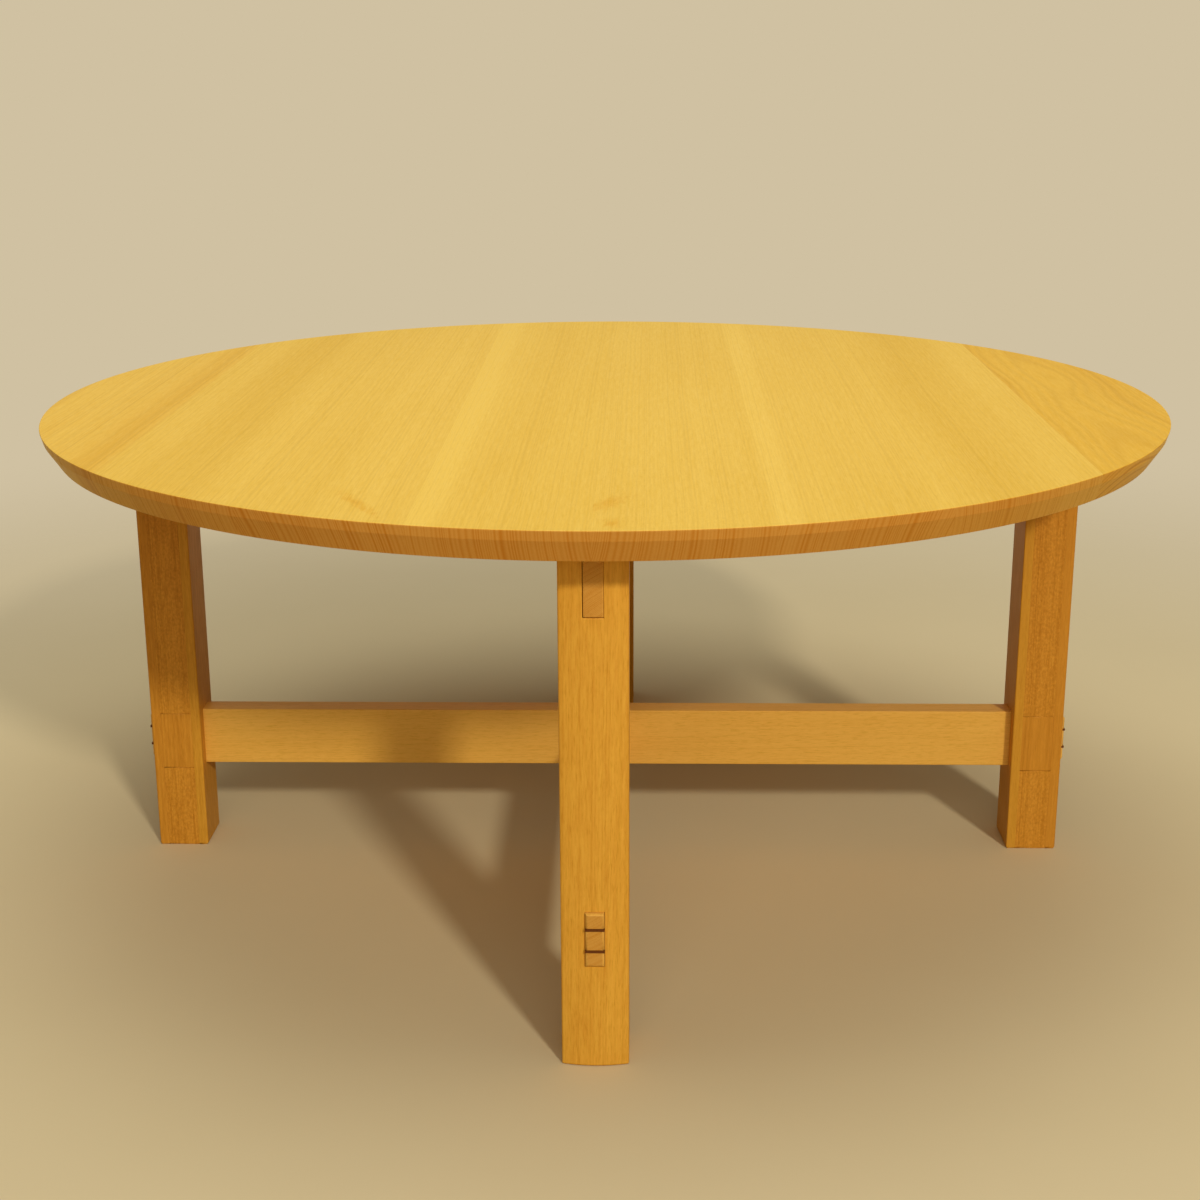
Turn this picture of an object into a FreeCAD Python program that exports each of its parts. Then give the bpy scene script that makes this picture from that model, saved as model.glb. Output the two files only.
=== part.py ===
"""Round low table: a top of edge-glued boards on four laminated legs, tied by two crossed rails under
the top and two crossed stretchers near the floor.

Millimetres, +Z up. The origin is on the floor under the centre of the top. The legs stand on the X and
Y axes. Each piece of wood is a solid of its own, written to parts/NAME.step.
"""

import FreeCAD, Part
import os

from FreeCAD import Vector

os.makedirs("parts", exist_ok=True)

# Whole table
table_height = 375.0
top_diameter = 860.0
top_thickness = 21.0
rim_overhang = 57.0  # from the rim in to the outer arris of a leg

# Top: boards glued edge to edge, with an upright band round the rim and a long bevel under it
board_count = 8
blank_allowance = 10.0  # how much wider the glued boards were than the disc sawn from them
rim_band_height = 6.8
rim_band_lean = 2.0  # how far the band leans in on its way down
rim_bevel_width = 9.2  # level width of the bevel, from the band in to the underside
rim_arris = 1.0  # chamfer between the face and the band

# Leg: an outer and an inner ply with a core between them
leg_width = 44.0
leg_depth = 40.0  # from the inner face to the outer arris
leg_crown = 3.0  # how far the outer face swells between its arrises
leg_ply = 7.5
leg_arris = 1.2
foot_chamfer = 1.0

# Rails under the top and stretchers near the floor, one pair along each axis
rail_height = 47.0
rail_thickness = 20.0
stretcher_height = 47.0
stretcher_thickness = 20.0
stretcher_floor_gap = 69.0
cross_arris = 0.8

# Tenons: open bridles for the rails, wedged through tenons for the stretchers
rail_tenon_thickness = 12.6
tenon_thickness = 12.6
tenon_height = 37.6  # the part that goes through the outer ply
tenon_low_shoulder = 3.8
tenon_proud = 2.3  # how far it stands out of the crown of the leg
tenon_chamfer = 1.4

# Wedges driven into the ends of the stretcher tenons
wedge_thickness = 1.6
wedge_tip_thickness = 0.5
wedge_length = 27.0
wedge_spacing = 15.1
wedge_proud = 0.5

# Buttons that hold the top down to the rails and let it swell and shrink
button_length = 32.0
button_width = 26.0
button_lip = 10.0  # rail wood left above the tongue
tongue_thickness = 8.0
tongue_depth = 8.0
button_shoulder_gap = 0.5
groove_play = 0.5
groove_end_play = 2.0
button_chamfer = 1.5
button_place_shares = (0.40, 0.73)  # of the way from the centre to the inner face of a leg

# Countersunk wood screws, one up through each button
screw_shank_diameter = 4.0
screw_head_diameter = 8.0
screw_head_height = 2.4
screw_bite = 12.0  # how far a screw goes into the top
screw_tip_length = 4.0
screw_slot_width = 1.0
screw_slot_depth = 1.0
screw_clearance = 0.05

# Every cutting tool runs past what it cuts by this much, and two places this close are one
overrun = 4.0
tolerance = 0.0001

# Places that follow from the sizes above
top_radius = top_diameter / 2
board_width = (top_diameter + blank_allowance) / board_count
underside = table_height - top_thickness
arris_radius = top_radius - rim_overhang
crown_radius = arris_radius + leg_crown
inner_radius = arris_radius - leg_depth
core_inner = inner_radius + leg_ply
core_outer = arris_radius - leg_ply
rail_bottom = underside - rail_height
stretcher_bottom = stretcher_floor_gap
stretcher_top = stretcher_bottom + stretcher_height
tenon_bottom = stretcher_bottom + tenon_low_shoulder
tenon_top = tenon_bottom + tenon_height
tenon_end = crown_radius + tenon_proud
button_top = underside
button_bottom = underside - button_lip - tongue_thickness
SIDES = {"right": 0, "back": 90, "left": 180, "front": 270}
UP = Vector(0, 0, 1)
ACROSS = Vector(1, 0, 0)


def block(x_from, x_to, y_from, y_to, z_from, z_to):
    """A box between two corners."""
    return Part.makeBox(x_to - x_from, y_to - y_from, z_to - z_from, Vector(x_from, y_from, z_from))


def turned(shape, degrees):
    """A copy turned about the table's upright axis."""
    copy = shape.copy()
    copy.rotate(Vector(0, 0, 0), UP, degrees)
    return copy


def edges_where(shape, test):
    """The edges whose every vertex passes the test."""
    return [edge for edge in shape.Edges if all(test(vertex.Point) for vertex in edge.Vertexes)]


def edges_along(shape, direction):
    """The straight edges that run along a unit direction, either way."""
    return [edge for edge in shape.Edges if near(abs(edge.tangentAt(edge.FirstParameter).dot(direction)), 1)]


def near(value, target):
    """Whether two places are the same but for rounding."""
    return abs(value - target) < tolerance


def save(name, shape):
    """Write one node's solid, or its group of solids, and print what it holds."""
    shape.exportStep(f"parts/{name}.step")
    print(f"{name}: solids {len(shape.Solids)}, volume {shape.Volume:.0f}, valid {shape.isValid()}")


def disc():
    """The whole top as one turned disc, before it is parted into boards."""
    band_foot = top_radius - rim_band_lean
    outline = [
        Vector(0, 0, underside),
        Vector(band_foot - rim_bevel_width, 0, underside),
        Vector(band_foot, 0, table_height - rim_band_height),
        Vector(top_radius, 0, table_height),
        Vector(0, 0, table_height),
    ]
    face = Part.Face(Part.makePolygon(outline + outline[:1]))
    body = face.revolve(Vector(0, 0, 0), UP, 360)
    brim = edges_where(body, lambda p: near(p.z, table_height) and p.x > band_foot)
    return body.makeChamfer(rim_arris, brim)


def button_centre(index):
    """Where the screw of a button stands, for the two buttons on the half rail along +X."""
    side = 1 if index == 0 else -1
    along = button_place_shares[index] * inner_radius
    across = rail_thickness / 2 + button_shoulder_gap + button_width / 2
    return Vector(along, side * across, button_bottom), side


def screw(index):
    """One screw, head down, standing in its button and the top."""
    centre, _ = button_centre(index)
    head_radius = screw_head_diameter / 2
    shank_radius = screw_shank_diameter / 2
    tip = underside + screw_bite
    shank_end = tip - screw_tip_length
    head = Part.makeCone(head_radius, shank_radius, screw_head_height, centre)
    shank_foot = Vector(centre.x, centre.y, button_bottom + screw_head_height)
    shank = Part.makeCylinder(shank_radius, shank_end - shank_foot.z, shank_foot)
    point = Part.makeCone(shank_radius, 0, screw_tip_length, Vector(centre.x, centre.y, shank_end))
    slot = block(
        centre.x - head_radius - overrun,
        centre.x + head_radius + overrun,
        centre.y - screw_slot_width / 2,
        centre.y + screw_slot_width / 2,
        button_bottom - overrun,
        button_bottom + screw_slot_depth,
    )
    return head.fuse(shank).fuse(point).cut(slot).removeSplitter()


def screw_hole(index):
    """The room that a screw needs in its button and in the top."""
    centre, _ = button_centre(index)
    head_radius = screw_head_diameter / 2 + screw_clearance
    shank_radius = screw_shank_diameter / 2 + screw_clearance
    sink = Part.makeCone(head_radius, shank_radius, screw_head_height, centre)
    bore = Part.makeCylinder(shank_radius, underside + screw_bite + screw_clearance - button_bottom, centre)
    return sink.fuse(bore)


def button(index):
    """One button: a block under the top with a tongue in the groove of the rail."""
    centre, side = button_centre(index)
    shoulder = rail_thickness / 2 + button_shoulder_gap
    far = shoulder + button_width
    ends = (centre.x - button_length / 2, centre.x + button_length / 2)
    body = block(*ends, shoulder, far, button_bottom, button_top)
    outer_edges = edges_where(body, lambda p: near(p.y, far) and near(p.z, button_bottom))
    body = body.makeChamfer(button_chamfer, outer_edges)
    tongue_top = button_bottom + tongue_thickness
    tongue = block(*ends, rail_thickness / 2 - tongue_depth, shoulder, button_bottom, tongue_top)
    whole = body.fuse(tongue).removeSplitter()
    if side < 0:
        whole = whole.mirror(Vector(0, 0, 0), Vector(0, 1, 0))
    return whole.cut(screw_hole(index))


def button_groove(index):
    """The stopped groove that a button's tongue slides in."""
    centre, side = button_centre(index)
    half = button_length / 2 + groove_end_play
    floor = rail_thickness / 2 - tongue_depth - groove_play
    groove = block(
        centre.x - half,
        centre.x + half,
        floor,
        rail_thickness / 2 + overrun,
        button_bottom - groove_play,
        button_bottom + tongue_thickness,
    )
    if side < 0:
        groove = groove.mirror(Vector(0, 0, 0), Vector(0, 1, 0))
    return groove


def leg_blank():
    """The right-hand leg as one glued block, shaped outside and before its joints are cut."""
    half = leg_width / 2
    corners = [
        Vector(arris_radius, -half, 0),
        Vector(inner_radius, -half, 0),
        Vector(inner_radius, half, 0),
        Vector(arris_radius, half, 0),
    ]
    straight = [Part.makeLine(a, b) for a, b in zip(corners, corners[1:])]
    crown = Part.Arc(corners[-1], Vector(crown_radius, 0, 0), corners[0]).toShape()
    blank = Part.Face(Part.Wire(straight + [crown])).extrude(UP * underside)
    blank = blank.makeFillet(leg_arris, edges_along(blank, UP))
    return blank.makeChamfer(foot_chamfer, edges_where(blank, lambda p: near(p.z, 0)))


def rail_bridle():
    """The open slot for a rail's tenon, sawn down from the top of a leg."""
    half = rail_tenon_thickness / 2
    outside = crown_radius + overrun
    return block(inner_radius - overrun, outside, -half, half, rail_bottom, underside + overrun)


def leg_pieces():
    """The right-hand leg's pieces of wood, by name."""
    blank = leg_blank()
    half = leg_width / 2 + overrun
    slot = tenon_thickness / 2
    outside = crown_radius + overrun
    inner_side = inner_radius - overrun
    high = underside + overrun
    bridle = rail_bridle()
    outer_mortise = block(core_outer - overrun, outside, -slot, slot, tenon_bottom, tenon_top)
    inner_mortise = block(inner_side, core_inner + overrun, -slot, slot, stretcher_bottom, stretcher_top)
    outer_ply = blank.common(block(core_outer, outside, -half, half, -overrun, high))
    inner_ply = blank.common(block(inner_side, core_inner, -half, half, -overrun, high))
    core_upper = blank.common(block(core_inner, core_outer, -half, half, stretcher_top, high))
    return {
        "outer_ply": outer_ply.cut(outer_mortise).cut(bridle),
        "inner_ply": inner_ply.cut(inner_mortise).cut(bridle),
        "core_upper": core_upper.cut(bridle),
        "core_lower": blank.common(block(core_inner, core_outer, -half, half, -overrun, stretcher_bottom)),
        "cheek_a": blank.common(block(core_inner, core_outer, slot, half, stretcher_bottom, stretcher_top)),
        "cheek_b": blank.common(block(core_inner, core_outer, -half, -slot, stretcher_bottom, stretcher_top)),
    }


def wedge(level):
    """One wedge in the right-hand tenon; level is 1 for the upper one and -1 for the lower."""
    middle = (tenon_bottom + tenon_top) / 2 + level * wedge_spacing / 2
    tip = tenon_end - wedge_length
    end = tenon_end + wedge_proud
    side = -tenon_thickness / 2
    outline = [
        Vector(tip, side, middle - wedge_tip_thickness / 2),
        Vector(end, side, middle - wedge_thickness / 2),
        Vector(end, side, middle + wedge_thickness / 2),
        Vector(tip, side, middle + wedge_tip_thickness / 2),
    ]
    face = Part.Face(Part.makePolygon(outline + outline[:1]))
    return face.extrude(Vector(0, tenon_thickness, 0))


def cross_body(thickness, bottom, top):
    """A rail's or a stretcher's length between its shoulders, with its long edges eased."""
    body = block(-inner_radius, inner_radius, -thickness / 2, thickness / 2, bottom, top)
    return body.makeChamfer(cross_arris, edges_along(body, ACROSS))


def lap(thickness, bottom, top, from_above):
    """The notch of a half lap at the centre, for a crossing piece of the same section."""
    middle = (bottom + top) / 2
    z_from = middle if from_above else bottom - overrun
    z_to = top + overrun if from_above else middle
    reach = thickness / 2 + overrun
    return block(-thickness / 2, thickness / 2, -reach, reach, z_from, z_to)


def stretcher(from_above):
    """A stretcher along X with a wedged through tenon at each end."""
    half = tenon_thickness / 2
    through = block(core_outer, tenon_end, -half, half, tenon_bottom, tenon_top)
    rim = edges_where(through, lambda p: near(p.x, tenon_end))
    tenon = block(inner_radius, core_outer, -half, half, stretcher_bottom, stretcher_top)
    tenon = tenon.fuse(through.makeChamfer(tenon_chamfer, rim))
    tenon = tenon.cut(wedge(1)).cut(wedge(-1))
    body = cross_body(stretcher_thickness, stretcher_bottom, stretcher_top)
    whole = body.fuse(tenon).fuse(turned(tenon, 180)).removeSplitter()
    return whole.cut(lap(stretcher_thickness, stretcher_bottom, stretcher_top, from_above))


def rail(from_above):
    """A rail along X, its bridle tenons planed flush with the legs, with the grooves for the buttons."""
    half = rail_tenon_thickness / 2
    tenon = block(inner_radius, crown_radius + overrun, -half, half, rail_bottom, underside)
    tenon = tenon.common(leg_blank())
    body = cross_body(rail_thickness, rail_bottom, underside)
    whole = body.fuse(tenon).fuse(turned(tenon, 180)).removeSplitter()
    for index in range(len(button_place_shares)):
        groove = button_groove(index)
        whole = whole.cut(groove).cut(turned(groove, 180))
    return whole.cut(lap(rail_thickness, rail_bottom, underside, from_above))


def make_top():
    """The boards of the top, from left to right, with the screw holes in their undersides."""
    whole = disc()
    for degrees in SIDES.values():
        for index in range(len(button_place_shares)):
            whole = whole.cut(turned(screw_hole(index), degrees))
    seams = [(number - board_count / 2) * board_width for number in range(1, board_count)]
    bounds = [-top_radius - overrun, *seams, top_radius + overrun]
    for number, (left, right) in enumerate(zip(bounds, bounds[1:]), 1):
        reach = top_radius + overrun
        strip = block(left, right, -reach, reach, underside - overrun, table_height + overrun)
        save(f"top_board_{number}", whole.common(strip))


def make_crosses():
    """Both stretchers and both rails, half lapped where they cross."""
    save("stretcher_side_to_side", stretcher(from_above=True))
    save("stretcher_front_to_back", turned(stretcher(from_above=False), 90))
    save("rail_side_to_side", rail(from_above=False))
    save("rail_front_to_back", turned(rail(from_above=True), 90))


def make_legs():
    """Four legs of six pieces each, with the two wedges of each stretcher tenon."""
    pieces = leg_pieces()
    pieces["wedge_upper"] = wedge(1)
    pieces["wedge_lower"] = wedge(-1)
    for side, degrees in SIDES.items():
        for piece, shape in pieces.items():
            save(f"{side}_leg_{piece}", turned(shape, degrees))


def make_buttons():
    """Two buttons on each half rail, one on either side of it, and all the screws as one group."""
    screws = []
    for side, degrees in SIDES.items():
        for index, place in enumerate(("inner", "outer")):
            save(f"{side}_button_{place}", turned(button(index), degrees))
            screws.append(turned(screw(index), degrees))
    save("button_screws", Part.makeCompound(screws))


make_top()
make_crosses()
make_legs()
make_buttons()
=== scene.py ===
"""Low round table of oiled wood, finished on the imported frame.

Metres, +Z up, with the origin on the floor under the centre of the top. Each piece of wood stands where
its CAD node stands and takes its sizes from that node's box. The right-hand leg, and a rail or stretcher
along X, are worked out first and turned by quarter turns to the other places.
"""

import math

import bmesh
import bpy
import numpy as np
from mathutils import Matrix, Vector


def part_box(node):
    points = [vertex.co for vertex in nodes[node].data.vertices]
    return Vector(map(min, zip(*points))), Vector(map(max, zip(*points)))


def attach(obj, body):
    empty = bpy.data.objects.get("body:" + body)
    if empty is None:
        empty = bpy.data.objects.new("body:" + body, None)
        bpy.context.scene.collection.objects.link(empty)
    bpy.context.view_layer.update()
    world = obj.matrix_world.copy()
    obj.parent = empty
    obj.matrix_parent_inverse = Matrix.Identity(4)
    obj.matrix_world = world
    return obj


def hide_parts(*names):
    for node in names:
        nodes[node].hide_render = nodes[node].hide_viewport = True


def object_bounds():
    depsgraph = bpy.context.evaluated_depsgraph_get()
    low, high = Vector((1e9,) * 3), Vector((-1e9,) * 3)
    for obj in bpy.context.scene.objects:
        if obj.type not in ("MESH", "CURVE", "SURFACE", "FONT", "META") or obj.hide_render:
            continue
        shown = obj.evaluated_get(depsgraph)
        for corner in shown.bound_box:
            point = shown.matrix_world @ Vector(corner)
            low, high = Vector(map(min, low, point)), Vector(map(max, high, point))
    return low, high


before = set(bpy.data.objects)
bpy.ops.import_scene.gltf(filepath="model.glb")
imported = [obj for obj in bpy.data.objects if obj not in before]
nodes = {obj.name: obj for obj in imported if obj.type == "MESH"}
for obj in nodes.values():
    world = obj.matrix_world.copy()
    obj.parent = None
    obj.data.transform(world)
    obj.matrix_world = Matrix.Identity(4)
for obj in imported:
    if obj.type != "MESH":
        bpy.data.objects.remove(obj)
cad_low, cad_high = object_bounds()
mm = 0.001

# Legs
# Four upright legs, each glued up from two straight-grained plies and a flecked quartered core. The core is
# parted by the stretcher's tenon, which two plain cheek blocks hem in. The outer face is planed to a low
# crown, and the whole is sanded and oiled.
SIDES = {"right": 0, "back": 1, "left": 2, "front": 3}
outer_ply_low, outer_ply_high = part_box("right_leg_outer_ply")
inner_ply_low, inner_ply_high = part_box("right_leg_inner_ply")
cheek_low, cheek_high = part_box("right_leg_cheek_a")
underside = outer_ply_high.z
leg_half = outer_ply_high.y
leg_crown = 3.0 * mm
crown_face = outer_ply_high.x
arris_face = crown_face - leg_crown
core_outer = outer_ply_low.x
core_inner = inner_ply_high.x
inner_face = inner_ply_low.x
stretcher_bottom = cheek_low.z
stretcher_top = cheek_high.z
slot_half = cheek_low.y
rail_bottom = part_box("rail_side_to_side")[0].z
tenon_low_shoulder = 3.8 * mm
tenon_height = 37.6 * mm
tenon_bottom = stretcher_bottom + tenon_low_shoulder
tenon_top = tenon_bottom + tenon_height
crown_facets = 16
leg_arris = 1.2 * mm
foot_arris = 1.7 * mm
clear_joint_line = 0.60 * mm
faint_joint_line = 0.45 * mm
glue_line = 0.05 * mm
mortise_mouth = 0.50 * mm
mortise_side_mouth = 0.25 * mm
bridle_mouth = 0.75 * mm
bridle_gap_wide = 0.40 * mm
bridle_gap_tight = 0.10 * mm
bridle_gap_below = 0.40 * mm
past = 5.0 * mm
tolerance = 0.01 * mm
plane_decimals = 7
easing_segments = 3


def held(boxes, middles):
    """Whether each lattice cell's middle lies inside any of the boxes."""
    inside = np.zeros(middles.shape[1:], bool)
    for x_from, x_to, y_from, y_to, z_from, z_to in boxes:
        low = np.array([x_from, y_from, z_from])[:, None, None, None]
        high = np.array([x_to, y_to, z_to])[:, None, None, None]
        inside |= ((middles > low) & (middles < high)).all(0)
    return inside


def squared(solids, hollows=(), extra_y=()):
    """Points and faces of squared wood: boxes joined, less boxes cut out.

    All the boxes' planes make a lattice. A cell is wood where its middle lies in one of solids and in none
    of hollows, and a four-sided face stands wherever wood and air meet across a plane of the lattice.
    """
    boxes = np.array([*solids, *hollows])
    planes = [np.unique(np.round(boxes[:, 2 * axis:2 * axis + 2], plane_decimals)) for axis in range(3)]
    planes[1] = np.unique(np.round(np.concatenate([planes[1], extra_y]), plane_decimals))
    middles = np.array(np.meshgrid(*[(p[:-1] + p[1:]) / 2 for p in planes], indexing="ij"))
    wood = (held(solids, middles) & ~held(hollows, middles)).astype(int)
    ring = np.array([(0, 0, 0), (0, 1, 0), (0, 1, 1), (0, 0, 1)])
    quads = []
    facing = []
    for axis in range(3):
        order = (axis, (axis + 1) % 3, (axis + 2) % 3)
        step = np.diff(np.pad(wood.transpose(order), ((1, 1), (0, 0), (0, 0))), axis=0)
        for leaving, turn in ((-1, 1), (1, -1)):
            corners = np.argwhere(step == leaving)[:, None, :] + ring[::turn]
            quads.append(corners[:, :, np.argsort(order)])
            facing.append(np.full(len(corners), axis))
    quads = np.concatenate(quads)
    sizes = [len(p) for p in planes]
    places = np.ravel_multi_index(tuple(np.moveaxis(quads, 2, 0)), sizes)
    used, faces = np.unique(places, return_inverse=True)
    points = np.stack([p[i] for p, i in zip(planes, np.unravel_index(used, sizes))], 1)
    return points, faces.reshape(-1, 4), np.concatenate(facing)


def corners_of(points, faces, facing):
    """The lattice's true corners: each edge whose two faces look along different axes, and its middle."""
    pairs = np.sort(np.stack([faces, np.roll(faces, -1, 1)], 2).reshape(-1, 2), 1)
    keys, first, place = np.unique(pairs @ (len(points), 1), return_index=True, return_inverse=True)
    total = np.bincount(place, np.repeat(facing, 4))
    most = np.zeros(len(keys))
    np.maximum.at(most, place, np.repeat(facing, 4))
    sharp = total != most * np.bincount(place)
    edges = pairs[first][sharp]
    return edges, points[edges].mean(1)


def on_planes(middles, x=None, y=None, z=None):
    """Whether each middle lies on one of the given planes of every axis that is named."""
    chosen = np.ones(len(middles), bool)
    for axis, planes in enumerate((x, y, z)):
        if planes is not None:
            gap = np.abs(middles[:, axis, None] - np.array(planes)[None, :])
            chosen &= (gap < tolerance).any(1)
    return chosen


def turn_quarters(points, quarters):
    """Points turned about the table's upright axis by whole quarter turns."""
    for _ in range(quarters):
        points = np.stack([-points[:, 1], points[:, 0], points[:, 2]], 1)
    return points


def stand_in(name, mesh, material):
    """Puts a finished piece into the scene in place of the CAD node whose name it carries."""
    piece = bpy.data.objects.new(f"oiled_{name}", mesh)
    bpy.context.scene.collection.objects.link(piece)
    mesh.materials.append(material)
    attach(piece, "root")
    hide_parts(name)
    return piece


def even_shading(piece):
    """Shades by the larger faces, so that flats stay flat right up to their eased edges."""
    piece.modifiers.new("even shading", "WEIGHTED_NORMAL").keep_sharp = True


def joinery(name, wood, easing, shape, quarters, material):
    """One squared piece with its edges eased.

    wood is what squared gives. easing lists widths with the planes on which an edge must lie to get them,
    and a later line of the list goes over an earlier one. shape moves the points once the edges are chosen.
    """
    points, faces, facing = wood
    edges, middles = corners_of(points, faces, facing)
    widths = np.zeros(len(edges))
    for width, planes in easing:
        widths[on_planes(middles, **planes)] = width
    mesh = bpy.data.meshes.new(name)
    mesh.from_pydata(turn_quarters(shape(points), quarters), [], faces)
    mesh.shade_smooth()
    made = np.zeros(len(mesh.edges) * 2, int)
    mesh.edges.foreach_get("vertices", made)
    keys = np.sort(made.reshape(-1, 2), 1) @ (len(points), 1)
    order = np.argsort(keys)
    place = order[np.searchsorted(keys[order], edges @ (len(points), 1))]
    widest = max(widths.max(), tolerance)
    weights = np.zeros(len(keys))
    weights[place] = widths / widest
    left_sharp = np.zeros(len(keys), bool)
    left_sharp[place] = widths == 0
    mesh.attributes.new("bevel_weight_edge", "FLOAT", "EDGE").data.foreach_set("value", weights)
    mesh.attributes.new("sharp_edge", "BOOLEAN", "EDGE").data.foreach_set("value", left_sharp)
    piece = stand_in(name, mesh, material)
    ease = piece.modifiers.new("eased edges", "BEVEL")
    ease.limit_method = "WEIGHT"
    ease.width = widest
    ease.segments = easing_segments
    ease.use_clamp_overlap = False
    even_shading(piece)


def swell(across):
    """How far a leg's outer face swells at a distance from its middle: an arc from arris to arris."""
    radius = (leg_half ** 2 + leg_crown ** 2) / (2 * leg_crown)
    return np.sqrt(radius ** 2 - across ** 2) - (radius - leg_crown)


def crowned(points):
    """Pushes whatever ends at the arrises' plane out to the crown, at either end of the X axis."""
    ends = np.abs(np.abs(points[:, 0]) - arris_face) < tolerance
    out = points.copy()
    out[ends, 0] += np.sign(points[ends, 0]) * swell(points[ends, 1])
    return out


def srgb(red, green, blue):
    """A colour as it looks on a screen, in parts of 255, made linear for the shader."""
    screen = np.array([red, green, blue]) / 255
    linear = np.where(screen <= 0.04045, screen / 12.92, ((screen + 0.055) / 1.055) ** 2.4)
    return (*linear, 1.0)


def add(tree, kind, values=None, **settings):
    """Adds a shader node. values gives its inputs by name or number, as constants or as sockets to link."""
    made = tree.nodes.new(kind)
    for setting, value in settings.items():
        setattr(made, setting, value)
    for key, value in (values or {}).items():
        if isinstance(value, bpy.types.NodeSocket):
            tree.links.new(value, made.inputs[key])
        else:
            made.inputs[key].default_value = value
    return made


def calc(tree, operation, *terms):
    """One sum on single values."""
    return add(tree, "ShaderNodeMath", dict(enumerate(terms)), operation=operation).outputs[0]


def stretch(tree, vector, factors):
    """A vector with each of its parts multiplied by its own factor."""
    scaled = add(tree, "ShaderNodeVectorMath", {0: vector, 1: factors}, operation="MULTIPLY")
    return scaled.outputs[0]


def ramp(tree, value, start, end):
    """Rises smoothly from 0 at start to 1 at end."""
    made = add(
        tree,
        "ShaderNodeMapRange",
        {"Value": value, "From Min": start, "From Max": end},
        interpolation_type="SMOOTHSTEP",
    )
    return made.outputs["Result"]


def noise(tree, vector, detail=2.0, roughness=0.5):
    """Soft noise from 0 to 1 with features one unit of the vector wide."""
    values = {"Vector": vector, "Scale": 1.0, "Detail": detail, "Roughness": roughness}
    return add(tree, "ShaderNodeTexNoise", values)


def blend(tree, share, first, second, mode="MIX"):
    """Two colours mixed by a share."""
    mixed = add(tree, "ShaderNodeMix", data_type="RGBA", blend_type=mode, clamp_factor=True)
    for key, value in ((0, share), (6, first), (7, second)):
        if isinstance(value, bpy.types.NodeSocket):
            tree.links.new(value, mixed.inputs[key])
        else:
            mixed.inputs[key].default_value = value
    return mixed.outputs[2]


# How many features the timber has to a metre: two ways across the grain, then along it
sway_features = (9.0, 9.0, 3.5)
fibre_features = (620.0, 620.0, 50.0)
pore_features = (1600.0, 1600.0, 130.0)
patch_features = (26.0, 26.0, 3.4)
# The same for the rays: to a metre out from the heart, to a radian round it, and to a metre along the grain
ray_features = (620.0, 130.0, 420.0)
# The rings' width wanders as one goes out: how often to a metre, and by how many rings
wander_features = 45.0
wander_rings = 7.0
year_contrast = 0.7
pore_noise = (0.50, 0.70)
side_stain = (0.66, 0.55, 0.02, 1.0)
end_stain = (0.82, 0.55, 0.0, 1.0)
oiled_roughness = 0.46
fibre_roughness = 0.25
end_roughness = 0.14
late_wood_height = -0.35
ray_height = 0.25


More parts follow.
